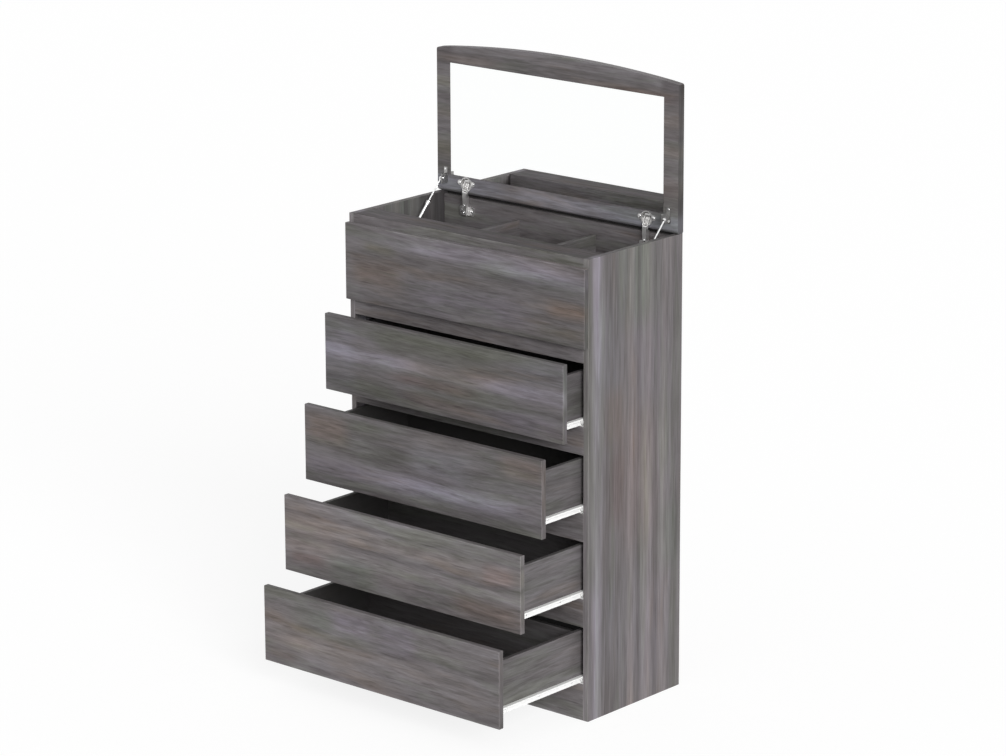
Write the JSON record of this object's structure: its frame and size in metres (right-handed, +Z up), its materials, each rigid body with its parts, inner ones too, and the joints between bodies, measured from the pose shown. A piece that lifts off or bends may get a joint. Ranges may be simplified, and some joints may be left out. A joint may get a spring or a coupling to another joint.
{
  "type": "tallboy",
  "caption": "Tall grey wood-grain chest with handleless drawers on side runners and a divided top compartment under a bow-fronted lift-up lid with a mirror in its underside.",
  "frame": {"origin": "on the floor under the middle of the plinth board", "axes": "+X to the right seen from the front, +Y to the back, +Z up"},
  "size_m": [0.809, 0.7094, 1.61],
  "materials": {
    "grey_oak": "satin laminate",
    "hardboard": "matt",
    "white_steel": "satin",
    "nickel": "plated",
    "bright_steel": "polished",
    "mirror": "polished"
  },
  "bodies": {
    "case": {"side_panel_left": "grey_oak", "side_panel_right": "grey_oak", "back_panel": "hardboard", "plinth": "grey_oak", "drawer_rail_1": "grey_oak", "drawer_rail_2": "grey_oak", "drawer_rail_3": "grey_oak", "compartment_rail": "grey_oak", "compartment_floor": "grey_oak", "compartment_back": "grey_oak", "top_rail": "grey_oak", "divider_1": "grey_oak", "divider_2": "grey_oak", "false_front": "grey_oak", "cabinet_runner_1_left": "white_steel", "cabinet_runner_1_right": "white_steel", "cabinet_runner_2_left": "white_steel", "cabinet_runner_2_right": "white_steel", "cabinet_runner_3_left": "white_steel", "cabinet_runner_3_right": "white_steel", "cabinet_runner_4_left": "white_steel", "cabinet_runner_4_right": "white_steel", "hinge_arm_left": "nickel", "hinge_arm_right": "nickel"},
    "drawer_1": {"drawer_1_front": "grey_oak", "drawer_1_side_left": "grey_oak", "drawer_1_side_right": "grey_oak", "drawer_1_back": "grey_oak", "drawer_1_bottom": "hardboard", "drawer_runner_1_left": "white_steel", "drawer_runner_1_right": "white_steel"},
    "drawer_2": {"drawer_2_front": "grey_oak", "drawer_2_side_left": "grey_oak", "drawer_2_side_right": "grey_oak", "drawer_2_back": "grey_oak", "drawer_2_bottom": "hardboard", "drawer_runner_2_left": "white_steel", "drawer_runner_2_right": "white_steel"},
    "drawer_3": {"drawer_3_front": "grey_oak", "drawer_3_side_left": "grey_oak", "drawer_3_side_right": "grey_oak", "drawer_3_back": "grey_oak", "drawer_3_bottom": "hardboard", "drawer_runner_3_left": "white_steel", "drawer_runner_3_right": "white_steel"},
    "drawer_4": {"drawer_4_front": "grey_oak", "drawer_4_side_left": "grey_oak", "drawer_4_side_right": "grey_oak", "drawer_4_back": "grey_oak", "drawer_4_bottom": "hardboard", "drawer_runner_4_left": "white_steel", "drawer_runner_4_right": "white_steel"},
    "lid": {"lid_panel": "grey_oak", "mirror": "mirror", "hinge_cup_left": "nickel", "hinge_cup_right": "nickel"},
    "stay_tube_left": {"stay_tube_left": "bright_steel"},
    "stay_rod_left": {"stay_rod_left": "bright_steel"},
    "stay_tube_right": {"stay_tube_right": "bright_steel"},
    "stay_rod_right": {"stay_rod_right": "bright_steel"}
  },
  "joints": [
    {"name": "drawer_1_slide", "type": "slide", "parent": "case", "child": "drawer_1", "axis": [0, -1, 0], "range_m": [-0.08102, 0.24899]},
    {"name": "drawer_2_slide", "type": "slide", "parent": "case", "child": "drawer_2", "axis": [0, -1, 0], "range_m": [-0.16203, 0.16797]},
    {"name": "drawer_3_slide", "type": "slide", "parent": "case", "child": "drawer_3", "axis": [0, -1, 0], "range_m": [-0.24305, 0.08696]},
    {"name": "drawer_4_slide", "type": "slide", "parent": "case", "child": "drawer_4", "axis": [0, -1, 0], "range_m": [-0.32406, 0.00594]},
    {"name": "lid_hinge", "type": "hinge", "parent": "case", "child": "lid", "pos_m": [0, 0.347, 1.2125], "axis": [1, 0, 0], "range_deg": [0, 90]},
    {"name": "stay_tilt_left", "type": "hinge", "parent": "case", "child": "stay_tube_left", "pos_m": [0, 0.1836, 1.09523], "axis": [1, 0, 0], "range_deg": [-13.16, 0]},
    {"name": "stay_slide_left", "type": "slide", "parent": "stay_tube_left", "child": "stay_rod_left", "axis": [0, 0.682, 0.7314], "range_m": [-0.0383, 0]},
    {"name": "stay_tilt_right", "type": "hinge", "parent": "case", "child": "stay_tube_right", "pos_m": [0, 0.1836, 1.09523], "axis": [1, 0, 0], "range_deg": [-13.16, 0]},
    {"name": "stay_slide_right", "type": "slide", "parent": "stay_tube_right", "child": "stay_rod_right", "axis": [0, 0.682, 0.7314], "range_m": [-0.0383, 0]}
  ],
  "couplings": [
    {"joint": "stay_tilt_left", "follows": "lid_hinge", "ratio": -0.14569},
    {"joint": "stay_slide_left", "follows": "lid_hinge", "m_per_rad": -0.024254},
    {"joint": "stay_tilt_right", "follows": "lid_hinge", "ratio": -0.14569},
    {"joint": "stay_slide_right", "follows": "lid_hinge", "m_per_rad": -0.024254}
  ]
}
